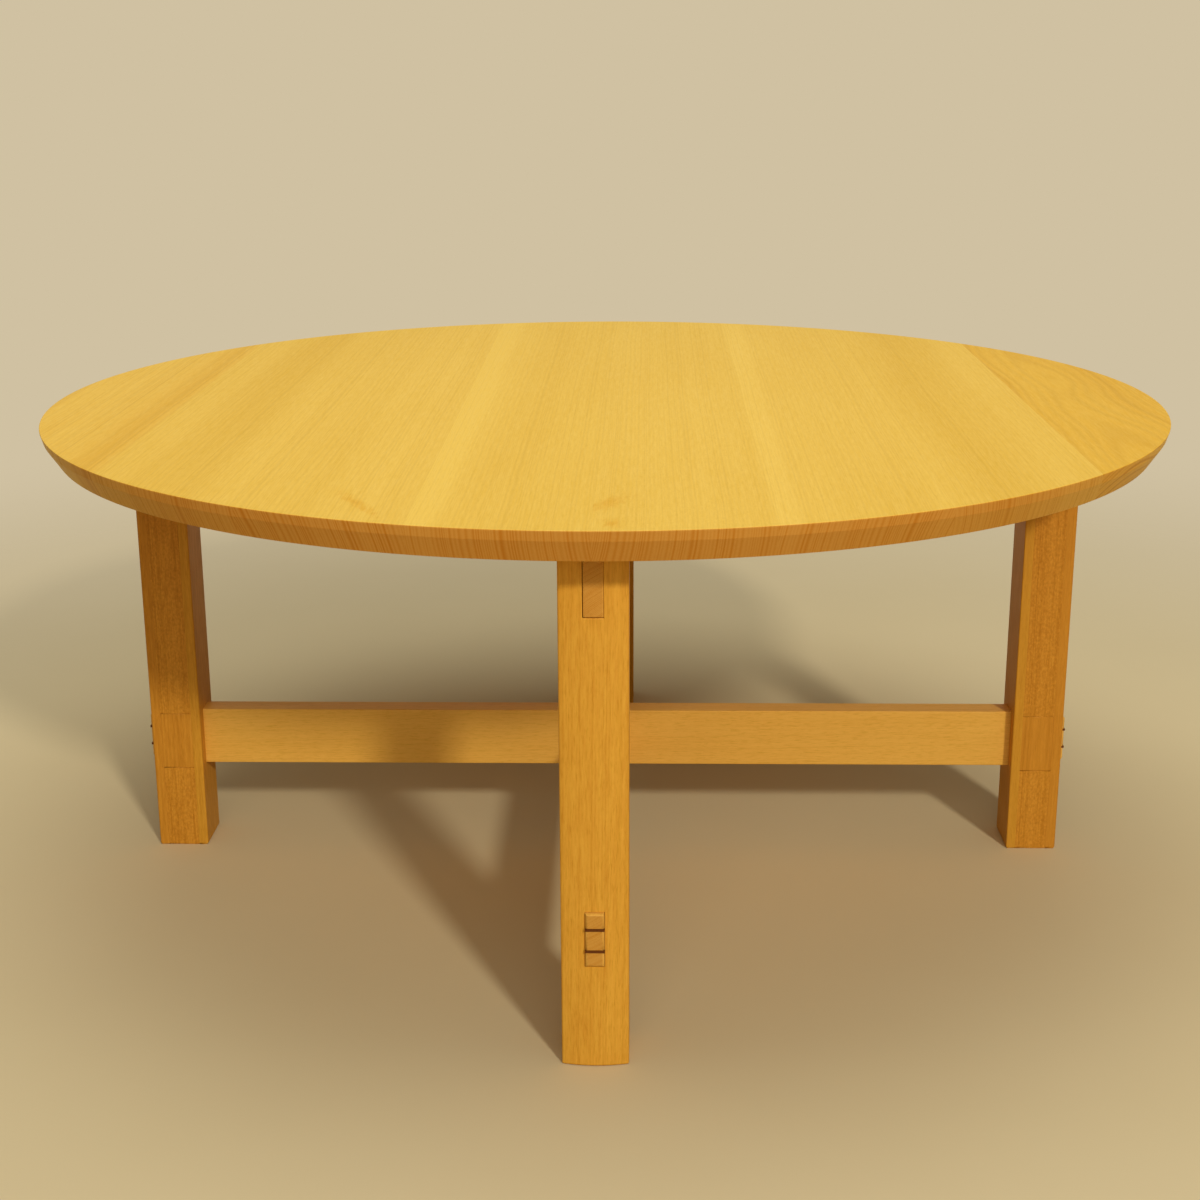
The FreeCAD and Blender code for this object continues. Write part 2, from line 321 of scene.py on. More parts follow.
def sawn_timber():
    """The shader group for wood, a solid that any cut shows rightly.

    Point is metres from the heart of the trunk, with the grain along Z. The distance from the heart, swayed
    a little along the length, counts the growth rings, whose late wood is a darker line: half of one less
    the cosine of the count's turns, raised to Ring Sharpness. Each year also has a tone of its own, and the
    years about Band Radius are deeper by Band Strength: e to the power of minus the square of how many Band
    Widths away they are. Fibres are noise drawn out along the grain. Rays are specks drawn out round the
    heart, so that a face sawn through the heart is finely mottled and a face sawn round it shows short
    dashes. Across the grain the wood takes the End colour and its rings are clearer, from End Start to End
    Full of the normal's share along the grain. Rings and pores are stains that the colour under them is
    multiplied by, a redder one across the grain.
    """
    tree = bpy.data.node_groups.new("sawn timber", "ShaderNodeTree")
    sockets = (
        ("Point", "NodeSocketVector"),
        ("Normal", "NodeSocketVector"),
        ("Pale", "NodeSocketColor"),
        ("Deep", "NodeSocketColor"),
        ("End", "NodeSocketColor"),
        ("Ring Width", "NodeSocketFloat"),
        ("Ring Strength", "NodeSocketFloat"),
        ("Ring Sharpness", "NodeSocketFloat"),
        ("Fibre Strength", "NodeSocketFloat"),
        ("Fleck Strength", "NodeSocketFloat"),
        ("Pore Strength", "NodeSocketFloat"),
        ("Sway", "NodeSocketFloat"),
        ("Patches", "NodeSocketFloat"),
        ("Band Radius", "NodeSocketFloat"),
        ("Band Width", "NodeSocketFloat"),
        ("Band Strength", "NodeSocketFloat"),
        ("End Darkness", "NodeSocketFloat"),
        ("End Contrast", "NodeSocketFloat"),
        ("End Start", "NodeSocketFloat"),
        ("End Full", "NodeSocketFloat"),
    )
    for label, kind in sockets:
        tree.interface.new_socket(name=label, in_out="INPUT", socket_type=kind)
    tree.interface.new_socket(name="Color", in_out="OUTPUT", socket_type="NodeSocketColor")
    tree.interface.new_socket(name="Roughness", in_out="OUTPUT", socket_type="NodeSocketFloat")
    tree.interface.new_socket(name="Height", in_out="OUTPUT", socket_type="NodeSocketFloat")
    given = add(tree, "NodeGroupInput").outputs
    point = given["Point"]

    sway = noise(tree, stretch(tree, point, sway_features), 1.0).outputs["Color"]
    sway = add(tree, "ShaderNodeVectorMath", {0: sway, 1: (0.5, 0.5, 0.5)}, operation="SUBTRACT").outputs[0]
    sway = add(tree, "ShaderNodeVectorMath", {0: sway, "Scale": given["Sway"]}, operation="SCALE").outputs[0]
    sway = stretch(tree, sway, (1.0, 1.0, 0.0))
    swayed = add(tree, "ShaderNodeVectorMath", {0: point, 1: sway}, operation="ADD").outputs[0]
    parts = add(tree, "ShaderNodeSeparateXYZ", {0: swayed}).outputs
    square = calc(tree, "MULTIPLY_ADD", parts[0], parts[0], calc(tree, "POWER", parts[1], 2.0))
    radius = calc(tree, "SQRT", square)
    angle = calc(tree, "ARCTAN2", parts[1], parts[0])

    upright = add(tree, "ShaderNodeSeparateXYZ", {0: given["Normal"]}).outputs[2]
    across = ramp(tree, calc(tree, "ABSOLUTE", upright), given["End Start"], given["End Full"])
    clearness = calc(tree, "MULTIPLY_ADD", across, given["End Contrast"], 1.0)
    ring_strength = calc(tree, "MULTIPLY", given["Ring Strength"], clearness)

    wander_values = {"W": radius, "Scale": wander_features, "Detail": 2.0}
    wander = add(tree, "ShaderNodeTexNoise", wander_values, noise_dimensions="1D").outputs["Fac"]
    count = calc(tree, "DIVIDE", radius, given["Ring Width"])
    count = calc(tree, "MULTIPLY_ADD", wander, wander_rings, count)
    year = add(tree, "ShaderNodeTexWhiteNoise", {"W": calc(tree, "FLOOR", count)}, noise_dimensions="1D")
    year_tone = year.outputs["Value"]
    turns = calc(tree, "COSINE", calc(tree, "MULTIPLY", count, 2.0 * math.pi))
    late = calc(tree, "POWER", calc(tree, "MULTIPLY_ADD", turns, -0.5, 0.5), given["Ring Sharpness"])

    fibre = noise(tree, stretch(tree, point, fibre_features), 3.0, 0.6).outputs["Fac"]
    pores = noise(tree, stretch(tree, point, pore_features), 2.0).outputs["Fac"]
    patch = noise(tree, stretch(tree, point, patch_features), 3.0).outputs["Fac"]
    round_heart = add(tree, "ShaderNodeCombineXYZ", {0: radius, 1: angle, 2: parts[2]}).outputs[0]
    rays = noise(tree, stretch(tree, round_heart, ray_features)).outputs["Fac"]

    tone = calc(tree, "MULTIPLY_ADD", calc(tree, "SUBTRACT", patch, 0.5), given["Patches"], 0.5)
    tone = calc(tree, "MULTIPLY_ADD", calc(tree, "SUBTRACT", fibre, 0.5), given["Fibre Strength"], tone)
    tone = calc(tree, "MULTIPLY_ADD", calc(tree, "SUBTRACT", rays, 0.5), given["Fleck Strength"], tone)
    year_share = calc(tree, "MULTIPLY", ring_strength, year_contrast)
    tone = calc(tree, "MULTIPLY_ADD", calc(tree, "SUBTRACT", year_tone, 0.5), year_share, tone)
    off_band = calc(tree, "SUBTRACT", radius, given["Band Radius"])
    off_band = calc(tree, "DIVIDE", off_band, given["Band Width"])
    band = calc(tree, "MULTIPLY", calc(tree, "MULTIPLY", off_band, off_band), -1.0)
    tone = calc(tree, "MULTIPLY_ADD", calc(tree, "EXPONENT", band), given["Band Strength"], tone)

    colour = blend(tree, tone, given["Pale"], given["Deep"])
    line_share = calc(tree, "MULTIPLY", late, ring_strength)
    year_depth = calc(tree, "MULTIPLY_ADD", year_tone, year_contrast, 1.0 - year_contrast)
    line_share = calc(tree, "MULTIPLY", line_share, year_depth)
    colour = blend(tree, calc(tree, "MULTIPLY", across, given["End Darkness"]), colour, given["End"])
    stain = blend(tree, across, side_stain, end_stain)
    colour = blend(tree, line_share, colour, stain, "MULTIPLY")
    pore_share = calc(tree, "MULTIPLY", ramp(tree, pores, *pore_noise), given["Pore Strength"])
    colour = blend(tree, pore_share, colour, stain, "MULTIPLY")

    rough = calc(tree, "MULTIPLY_ADD", calc(tree, "SUBTRACT", fibre, 0.5), fibre_roughness, oiled_roughness)
    rough = calc(tree, "MULTIPLY_ADD", across, end_roughness, rough)
    height = calc(tree, "MULTIPLY_ADD", late, late_wood_height, fibre)
    height = calc(tree, "MULTIPLY_ADD", rays, ray_height, height)
    add(tree, "NodeGroupOutput", {"Color": colour, "Roughness": rough, "Height": height})
    return tree


timber_tree = sawn_timber()
relief_depth = 0.05 * mm
relief_strength = 0.5
oil_ior = 1.42
oil_gloss = 0.22


def timber(name, grain, heart, lot, figure):
    """A material of sawn timber for one piece.

    grain is the way the trunk stood, and heart a point of the trunk's middle line beside the piece, both in
    the table's frame. lot is how far along the trunk the piece was cut, so that no two share a figure. The
    inputs of the wood group that set its colours and markings are in figure.
    """
    along = Vector(grain).normalized()
    side = along.orthogonal().normalized()
    to_wood = Matrix((side, along.cross(side), along))
    material = bpy.data.materials.new(name)
    material.use_nodes = True
    tree = material.node_tree
    shader = tree.nodes["Principled BSDF"]
    seen = add(tree, "ShaderNodeTexCoord").outputs
    spin = to_wood.to_euler()
    place = Vector((0, 0, lot)) - to_wood @ Vector(heart)
    point = add(tree, "ShaderNodeMapping", {"Vector": seen["Object"], "Rotation": spin, "Location": place})
    facing = add(tree, "ShaderNodeMapping", {"Vector": seen["Normal"], "Rotation": spin})
    wood = add(tree, "ShaderNodeGroup", node_tree=timber_tree)
    tree.links.new(point.outputs[0], wood.inputs["Point"])
    tree.links.new(facing.outputs[0], wood.inputs["Normal"])
    for label, value in figure.items():
        wood.inputs[label].default_value = value
    relief = {"Height": wood.outputs["Height"], "Distance": relief_depth, "Strength": relief_strength}
    bump = add(tree, "ShaderNodeBump", relief)
    tree.links.new(wood.outputs["Color"], shader.inputs["Base Color"])
    tree.links.new(wood.outputs["Roughness"], shader.inputs["Roughness"])
    tree.links.new(bump.outputs["Normal"], shader.inputs["Normal"])
    shader.inputs["IOR"].default_value = oil_ior
    shader.inputs["Specular IOR Level"].default_value = oil_gloss
    return material


plain_wood = {
    "Pale": srgb(220, 152, 50),
    "Deep": srgb(196, 128, 34),
    "End": srgb(150, 88, 20),
    "Ring Width": 2.3 * mm,
    "Ring Strength": 0.22,
    "Ring Sharpness": 1.5,
    "Fibre Strength": 1.4,
    "Fleck Strength": 0.3,
    "Pore Strength": 0.34,
    "Sway": 6.0 * mm,
    "Patches": 0.7,
    "Band Radius": 0.0,
    "Band Width": 1.0 * mm,
    "Band Strength": 0.0,
    "End Darkness": 0.20,
    "End Contrast": 1.0,
    "End Start": 0.3,
    "End Full": 0.9,
}
pale_stock = {"Pale": srgb(241, 180, 66), "Deep": srgb(218, 149, 44)}
strong_stock = {"Fibre Strength": 1.8, "Patches": 1.1}
even_stock = {"Fibre Strength": 1.1, "Pore Strength": 0.24}
LEG_STOCK = {"right": even_stock, "back": {}, "left": strong_stock, "front": pale_stock}
inner_ply_figure = {"Pale": srgb(222, 160, 52), "Deep": srgb(200, 137, 38)}
core_figure = {"Fleck Strength": 2.2, "Ring Strength": 0.38, "Ring Width": 3.5 * mm}
cheek_figure = {"Ring Strength": 0.35, "Ring Width": 2.6 * mm}
bridle_sides = (-slot_half - bridle_gap_wide, slot_half + bridle_gap_tight)
bridle_floor = rail_bottom - bridle_gap_below
LEG_PIECES = {
    "outer_ply": (
        [(core_outer, arris_face, -leg_half, leg_half, 0, underside)],
        [
            (core_outer - past, crown_face + past, -slot_half, slot_half, tenon_bottom, tenon_top),
            (core_outer - past, crown_face + past, *bridle_sides, bridle_floor, underside + past),
        ],
    ),
    "inner_ply": (
        [(inner_face, core_inner, -leg_half, leg_half, 0, underside)],
        [
            (inner_face - past, core_inner + past, -slot_half, slot_half, stretcher_bottom, stretcher_top),
            (inner_face - past, core_inner + past, -slot_half, slot_half, rail_bottom, underside + past),
        ],
    ),
    "core_upper": (
        [(core_inner, core_outer, -leg_half, leg_half, stretcher_top, underside)],
        [(core_inner - past, core_outer + past, -slot_half, slot_half, rail_bottom, underside + past)],
    ),
    "core_lower": ([(core_inner, core_outer, -leg_half, leg_half, 0, stretcher_bottom)], []),
    "cheek_a": ([(core_inner, core_outer, slot_half, leg_half, stretcher_bottom, stretcher_top)], []),
    "cheek_b": ([(core_inner, core_outer, -leg_half, -slot_half, stretcher_bottom, stretcher_top)], []),
}
flanks = (-leg_half, leg_half)
LEG_EASING = [
    (glue_line, {"y": flanks}),
    (clear_joint_line, {"y": flanks, "z": (stretcher_bottom,)}),
    (faint_joint_line, {"y": flanks, "z": (stretcher_top,)}),
    (glue_line, {"x": (inner_face, arris_face), "z": (underside,)}),
    (mortise_side_mouth, {"x": (arris_face,), "y": (-slot_half, slot_half)}),
    (mortise_mouth, {"x": (arris_face,), "z": (tenon_bottom, tenon_top)}),
    (bridle_mouth, {"x": (arris_face,), "y": bridle_sides}),
    (bridle_mouth, {"x": (arris_face,), "z": (bridle_floor,)}),
    (foot_arris, {"x": (inner_face, arris_face), "z": (0,)}),
    (foot_arris, {"y": flanks, "z": (0,)}),
    (leg_arris, {"x": (inner_face, arris_face), "y": flanks}),
]
# Where the tree's heart was from each kind of piece, counted from the leg's middle outwards and across, and
# how the piece's wood differs from the rest of the leg
LEG_HEARTS = {
    "outer_ply": (95 * mm, 110 * mm, {}),
    "inner_ply": (-80 * mm, 120 * mm, inner_ply_figure),
    "core_upper": (150 * mm, 12 * mm, core_figure),
    "core_lower": (150 * mm, 9 * mm, core_figure),
    "cheek_a": (70 * mm, -90 * mm, cheek_figure),
    "cheek_b": (60 * mm, 100 * mm, cheek_figure),
}
leg_middle = (inner_face + arris_face) / 2
leg_grain = (0.006, 0.010, 1.0)
lot_step = 1.7
crown_lines = np.linspace(-leg_half, leg_half, crown_facets + 1)
for side, quarters in SIDES.items():
    grain = turn_quarters(np.array([leg_grain]), quarters)[0]
    for number, (piece, (solids, hollows)) in enumerate(LEG_PIECES.items()):
        name = f"{side}_leg_{piece}"
        outwards, across, figure = LEG_HEARTS[piece]
        lot = (quarters * len(LEG_PIECES) + number) * lot_step
        heart = turn_quarters(np.array([[leg_middle + outwards, across, 0]]), quarters)[0]
        wood = squared(solids, hollows, crown_lines if piece == "outer_ply" else ())
        material = timber(name, grain, heart, lot, {**plain_wood, **LEG_STOCK[side], **figure})
        joinery(name, wood, LEG_EASING, crowned, quarters, material)

# Stretchers
# Two straight-grained sticks near the floor, half lapped where they cross under the centre. Their tenons
# pass through the legs and stand a little proud, with chamfered ends that two saw kerfs split for wedges.
stretcher_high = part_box("stretcher_side_to_side")[1]
wedge_low, wedge_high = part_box("right_leg_wedge_upper")
stretcher_half = stretcher_high.y
tenon_end = stretcher_high.x
tenon_chamfer = 1.4 * mm
cross_arris = 0.8 * mm
wedge_half = (wedge_high.z - wedge_low.z) / 2
wedge_tip_half = 0.25 * mm
upper_wedge_middle = (wedge_low.z + wedge_high.z) / 2
wedge_middles = (upper_wedge_middle, tenon_bottom + tenon_top - upper_wedge_middle)


def lap_notch(half, bottom, top, from_above):
    """The room for the crossing piece, half the height deep."""
    middle = (bottom + top) / 2
    span = (middle, top + past) if from_above else (bottom - past, middle)
    return (-half, half, -half - past, half + past, *span)


def chamfered_and_kerfed(points):
    """Draws the tenon ends in by the chamfer, and narrows each kerf from the end in to the wedge's tip."""
    out = points.copy()
    share = np.clip((np.abs(points[:, 0]) - wedge_low.x) / (wedge_high.x - wedge_low.x), 0, 1)
    half = wedge_tip_half + (wedge_half - wedge_tip_half) * share
    for middle in wedge_middles:
        off = points[:, 2] - middle
        kerf = np.abs(np.abs(off) - wedge_half) < tolerance
        out[kerf, 2] = middle + np.sign(off[kerf]) * half[kerf]
    end = np.abs(np.abs(points[:, 0]) - tenon_end) < tolerance
    out[end, 1] -= np.sign(points[end, 1]) * tenon_chamfer
    out[end & (np.abs(points[:, 2] - tenon_top) < tolerance), 2] -= tenon_chamfer
    out[end & (np.abs(points[:, 2] - tenon_bottom) < tolerance), 2] += tenon_chamfer
    return out


def stretcher_wood(from_above):
    """A stretcher along X as sawn: the stick, its two tenons, the lap notch and four kerfs."""
    shoulder = tenon_end - tenon_chamfer
    solids = [
        (-inner_face, inner_face, -stretcher_half, stretcher_half, stretcher_bottom, stretcher_top),
        (-core_outer, core_outer, -slot_half, slot_half, stretcher_bottom, stretcher_top),
        (-shoulder, shoulder, -slot_half, slot_half, tenon_bottom, tenon_top),
        (-tenon_end, tenon_end, -slot_half, slot_half, tenon_bottom, tenon_top),
    ]
    hollows = [lap_notch(stretcher_half, stretcher_bottom, stretcher_top, from_above)]
    through = (-slot_half - past, slot_half + past)
    for middle in wedge_middles:
        kerf = (middle - wedge_half, middle + wedge_half)
        hollows.append((wedge_low.x, tenon_end + past, *through, *kerf))
        hollows.append((-tenon_end - past, -wedge_low.x, *through, *kerf))
    return squared(solids, hollows)


stretcher_figure = {
    **plain_wood,
    "Pale": srgb(246, 193, 90),
    "Deep": srgb(227, 167, 66),
    "End": srgb(172, 98, 26),
    "Ring Strength": 0.09,
    "Ring Width": 2.2 * mm,
    "Fibre Strength": 0.5,
    "End Darkness": 0.40,
    "End Contrast": 3.5,
    "End Start": 0.72,
    "End Full": 0.98,
}
STRETCHER_EASING = [
    (faint_joint_line, {"x": (-stretcher_half, stretcher_half)}),
    (cross_arris, {"y": (-stretcher_half, stretcher_half), "z": (stretcher_bottom, stretcher_top)}),
    (faint_joint_line, {"x": (-tenon_end, tenon_end)}),
    (faint_joint_line, {"y": (-slot_half, slot_half), "z": (tenon_bottom, tenon_top)}),
]
stretcher_grain = (1.0, 0.008, 0.012)
for name, from_above, quarters, heart, lot in (
    ("stretcher_side_to_side", True, 0, (0, 45 * mm, 200 * mm), 5.1),
    ("stretcher_front_to_back", False, 1, (-52 * mm, 0, 190 * mm), 7.9),
):
    grain = turn_quarters(np.array([stretcher_grain]), quarters)[0]
    material = timber(name, grain, heart, lot, stretcher_figure)
    joinery(name, stretcher_wood(from_above), STRETCHER_EASING, chamfered_and_kerfed, quarters, material)

# Wedges
# Two thin wedges of dark wood in the end of each stretcher tenon. They are driven into the kerfs and pared
# off just proud of the end, where they show as two dark lines.
wedge_figure = {
    **plain_wood,
    "Pale": srgb(122, 68, 22),
    "Deep": srgb(92, 48, 14),
    "End": srgb(80, 40, 10),
    "Ring Width": 1.2 * mm,
}
wedge_heart = (20 * mm, 30 * mm, wedge_low.z)


def dress(name, material):
    """Gives a piece that keeps its CAD mesh its material."""
    nodes[name].data.materials.clear()
    nodes[name].data.materials.append(material)


for side, quarters in SIDES.items():
    grain = turn_quarters(np.array([[1.0, 0.0, 0.0]]), quarters)[0]
    for level in ("upper", "lower"):
        name = f"{side}_leg_wedge_{level}"
        dress(name, timber(name, grain, wedge_heart, quarters * lot_step, wedge_figure))

# Rails
# Two rails under the top, half lapped like the stretchers. Their tenons drop into open slots in the tops of
# the legs and are planed off flush with the crowned faces. Stopped grooves in their sides hold the buttons.
rail_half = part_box("rail_side_to_side")[1].y
rail_end_facets = 6
tongue_depth = 8.0 * mm
tongue_thickness = 8.0 * mm
groove_play = 0.5 * mm
groove_end_play = 2.0 * mm


def button_grooves():
    """The grooves of a rail along X, one for each button whose CAD node stands beside it."""
    grooves = []
    for side in ("right", "left"):
        for place in ("inner", "outer"):
            low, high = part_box(f"{side}_button_{place}")
            floor = rail_half - tongue_depth - groove_play
            span = (floor, rail_half + past) if low.y + high.y > 0 else (-rail_half - past, -floor)
            reach = (low.x - groove_end_play, high.x + groove_end_play)
            grooves.append((*reach, *span, low.z - groove_play, low.z + tongue_thickness))
    return grooves


def rail_wood(from_above):
    """A rail along X as sawn: the stick, its bridle tenons, the lap notch and the grooves."""
    solids = [
        (-inner_face, inner_face, -rail_half, rail_half, rail_bottom, underside),
        (-arris_face, arris_face, -slot_half, slot_half, rail_bottom, underside),
    ]
    hollows = [lap_notch(rail_half, rail_bottom, underside, from_above), *button_grooves()]
    return squared(solids, hollows, np.linspace(-slot_half, slot_half, rail_end_facets + 1))


rail_figure = {**stretcher_figure, "Ring Width": 0.9 * mm, "Sway": 14.0 * mm, "End Contrast": 5.0}
rail_grain = (1.0, 0.010, 0.006)
RAIL_EASING = [
    (faint_joint_line, {"x": (-rail_half, rail_half)}),
    (cross_arris, {"y": (-rail_half, rail_half), "z": (rail_bottom, underside)}),
    (bridle_mouth, {"x": (-arris_face, arris_face)}),
]
for name, from_above, quarters, heart, lot in (
    ("rail_side_to_side", False, 0, (0, 40 * mm, 250 * mm), 11.3),
    ("rail_front_to_back", True, 1, (42 * mm, 0, 260 * mm), 13.7),
):
    grain = turn_quarters(np.array([rail_grain]), quarters)[0]
    material = timber(name, grain, heart, lot, rail_figure)
    joinery(name, rail_wood(from_above), RAIL_EASING, crowned, quarters, material)

# Top
# Eight boards, most of them quartered, glued edge to edge, sawn round and worked to an upright band with a
# long bevel under it. The face is scraped, sanded and oiled, and its upper arris is just rounded.
table_top = cad_high.z
rim_band_height = 6.8 * mm
rim_band_lean = 2.0 * mm
rim_bevel_width = 9.2 * mm
face_arris = 1.0 * mm
# The CAD's box ends where the arris meets the band, a little short of the corner that the arris cuts off
top_radius = cad_high.x + face_arris * rim_band_lean / math.hypot(rim_band_lean, rim_band_height)
ridge_arris = 0.5 * mm
underside_arris = 0.3 * mm
arc_steps = 4
degrees_per_column = 1.0
sharp_angle = math.radians(30)


def eased_outline(corners):
    """The rim's outline. Each corner is cut back along both its sides and bridged by a parabola.

    corners lists radius, height and how far the corner is cut back, from the underside up to the face.
    """
    places = np.array(corners)[:, :2]
    cuts = np.array(corners)[:, 2]
    steps = np.linspace(0, 1, arc_steps + 1)[:, None]
    rounds = []
    for before, corner, after, cut in zip(places, places[1:], places[2:], cuts[1:]):
        start = corner + (before - corner) / np.linalg.norm(before - corner) * cut
        end = corner + (after - corner) / np.linalg.norm(after - corner) * cut
        rounds.append((1 - steps) ** 2 * start + 2 * steps * (1 - steps) * corner + steps ** 2 * end)
    return np.concatenate(rounds)


def board_mesh(name, left, right, outline):
    """One board of the round top, closed.

    Its section is carried from the right-hand seam to the left-hand one. At each step a point of the rim's
    outline goes round its own circle, at radius times the cosine across and radius times the sine towards
    the back, with the same on the front. The angle runs from one seam to the other, or to the rim's end.
    """
    radius, height = outline[:, 0], outline[:, 1]
    first = np.arccos(np.clip(right / radius, -1, 1))
    last = np.arccos(np.clip(left / radius, -1, 1))
    columns = math.ceil(math.degrees((last - first).max()) / degrees_per_column)
    angle = first + (last - first) * np.linspace(0, 1, columns + 1)[:, None]
    x, y = radius * np.cos(angle), radius * np.sin(angle)
    z = np.broadcast_to(height, x.shape)
    back = np.stack([x, y, z], 2)
    front = np.stack([x, -y, z], 2)[:, ::-1]
    grid = np.concatenate([back, front], 1)
    around = grid.shape[1]
    index = np.arange(grid.shape[0] * around).reshape(grid.shape[:2])
    along = np.roll(index, -1, 1)
    quads = np.stack([index[:-1], along[:-1], along[1:], index[1:]], 2).reshape(-1, 4)
    mesh = bpy.data.meshes.new(name)
    mesh.from_pydata(grid.reshape(-1, 3), [], [*quads.tolist(), index[0].tolist(), index[-1][::-1].tolist()])
    solid = bmesh.new()
    solid.from_mesh(mesh)
    bmesh.ops.remove_doubles(solid, verts=solid.verts, dist=tolerance)
    bmesh.ops.recalc_face_normals(solid, faces=solid.faces)
    solid.to_mesh(mesh)
    solid.free()
    mesh.shade_smooth()
    mesh.set_sharp_from_angle(angle=sharp_angle)
    return mesh


band_foot = top_radius - rim_band_lean
RIM = eased_outline(
    [
        (0, underside, 0),
        (band_foot - rim_bevel_width, underside, underside_arris),
        (band_foot, table_top - rim_band_height, ridge_arris),
        (top_radius, table_top, face_arris),
        (0, table_top, 0),
    ]
)
top_figure = {
    **plain_wood,
    "Pale": srgb(248, 206, 88),
    "Deep": srgb(233, 186, 60),
    "End": srgb(210, 135, 60),
    "Ring Width": 2.1 * mm,
    "Ring Strength": 0.17,
    "Ring Sharpness": 1.2,
    "Fibre Strength": 0.8,
    "Fleck Strength": 0.3,
    "Pore Strength": 0.14,
    "Sway": 5.0 * mm,
    "Patches": 0.6,
    "End Darkness": 0.75,
    "End Contrast": 3.0,
    "End Start": 0.20,
    "End Full": 0.85,
}
board_1_marks = {
    "Deep": srgb(234, 183, 58),
    "Ring Width": 5.0 * mm,
    "Ring Strength": 0.28,
    "Band Radius": 192 * mm,
    "Band Width": 18 * mm,
    "Band Strength": 0.44,
}
board_2_marks = {
    "Ring Strength": 0.20,
    "Band Radius": 166 * mm,
    "Band Width": 26 * mm,
    "Band Strength": 0.32,
}
board_3_marks = {
    "Ring Strength": 0.20,
    "Band Radius": 226 * mm,
    "Band Width": 16 * mm,
    "Band Strength": -0.12,
}
board_4_marks = {
    "Pale": srgb(247, 205, 85),
    "Deep": srgb(232, 184, 57),
    "Band Radius": 213 * mm,
    "Band Width": 22 * mm,
    "Band Strength": -0.65,
}
board_5_marks = {"Fleck Strength": 0.6}
board_6_marks = {"Band Radius": 239 * mm, "Band Width": 16 * mm, "Band Strength": -0.45}
board_7_marks = {"Band Radius": 155 * mm, "Band Width": 32 * mm, "Band Strength": 0.38}
board_8_marks = {
    "Pale": srgb(242, 194, 64),
    "Deep": srgb(226, 170, 36),
    "Ring Width": 3.3 * mm,
    "Ring Strength": 0.35,
    "Sway": 22 * mm,
}
# Where each board's heart lay: across from the board's middle, up from its underside and how steeply it ran
# down towards the back. Each board then has its own markings.
BOARDS = [
    (-150 * mm, -20 * mm, 0.004, board_1_marks),
    (170 * mm, 30 * mm, 0.004, board_2_marks),
    (-190 * mm, -40 * mm, 0.004, board_3_marks),
    (160 * mm, 20 * mm, 0.004, board_4_marks),
    (-210 * mm, 40 * mm, 0.004, board_5_marks),
    (180 * mm, -30 * mm, 0.004, board_6_marks),
    (-170 * mm, 10 * mm, 0.004, board_7_marks),
    (-10 * mm, -39 * mm, 0.018, board_8_marks),
]
board_lean = 0.006
mark_depth = 10 * mm
mark_stain = (0.93, 0.80, 0.36, 1.0)
mark_features = (320.0, 110.0, 320.0)
mark_raggedness = 2.4
mark_reach = 1.1
# Small brown marks that the wood had, near the front of two boards: the place, how far the mark leans to the
# left in degrees, its half width and half length, and how strong it is
BROWN_MARKS = {
    3: [((-143 * mm, -363 * mm), 25.5, 6 * mm, 46 * mm, 0.85)],
    5: [
        ((9 * mm, -361 * mm), -24.0, 10 * mm, 30 * mm, 0.8),
        ((13 * mm, -411 * mm), 0.0, 7 * mm, 14 * mm, 0.95),
    ],
}


def brown_mark(material, place, lean, half_width, half_length, strength):
    """Stains a board with one mark.

    The distance from the mark's middle, counted in half widths across it and half lengths along it, is
    shifted by fine noise that breaks the edge up. The stain fades out as this goes from 0 to mark_reach.
    """
    tree = material.node_tree
    base = tree.nodes["Principled BSDF"].inputs["Base Color"]
    seen = add(tree, "ShaderNodeTexCoord").outputs["Object"]
    spread = {
        "Vector": seen,
        "Location": (*place, table_top),
        "Rotation": (0, 0, math.radians(lean)),
        "Scale": (half_width, half_length, mark_depth),
    }
    within = add(tree, "ShaderNodeMapping", spread, vector_type="TEXTURE").outputs[0]
    off = add(tree, "ShaderNodeVectorMath", {0: within}, operation="LENGTH").outputs["Value"]
    broken = noise(tree, stretch(tree, seen, mark_features), 3.0).outputs["Fac"]
    edge = calc(tree, "MULTIPLY_ADD", calc(tree, "SUBTRACT", broken, 0.5), mark_raggedness, off)
    share = calc(tree, "MULTIPLY", ramp(tree, edge, mark_reach, 0.0), strength)
    tree.links.new(blend(tree, share, base.links[0].from_socket, mark_stain, "MULTIPLY"), base)


for number, (across, up, fall, marks) in enumerate(BOARDS, 1):
    name = f"top_board_{number}"
    low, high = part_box(name)
    middle = (low.x + high.x) / 2
    heart = (middle + across, 0, underside + up)
    grain = (board_lean, 1.0, -fall)
    material = timber(name, grain, heart, number * lot_step, {**top_figure, **marks})
    for mark in BROWN_MARKS.get(number, []):
        brown_mark(material, *mark)
    even_shading(stand_in(name, board_mesh(name, low.x, high.x, RIM), material))

# Buttons
# Eight small blocks of the same wood, screwed up to the underside of the top. Their tongues slide in the
# rails' grooves, so that the wide top can swell and shrink. They are sanded but hardly oiled.
button_figure = {
    **plain_wood,
    "Pale": srgb(214, 164, 88),
    "Deep": srgb(190, 136, 62),
    "Fleck Strength": 0.12,
}
button_grain = (0.0, 1.0, 0.05)
button_heart = Vector((60, -70, -40)) * mm
for side, quarters in SIDES.items():
    grain = turn_quarters(np.array([button_grain]), quarters)[0]
    for step, place in enumerate(("inner", "outer")):
        name = f"{side}_button_{place}"
        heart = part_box(name)[0] + button_heart
        lot = (2 * quarters + step) * lot_step
        dress(name, timber(name, grain, heart, lot, button_figure))

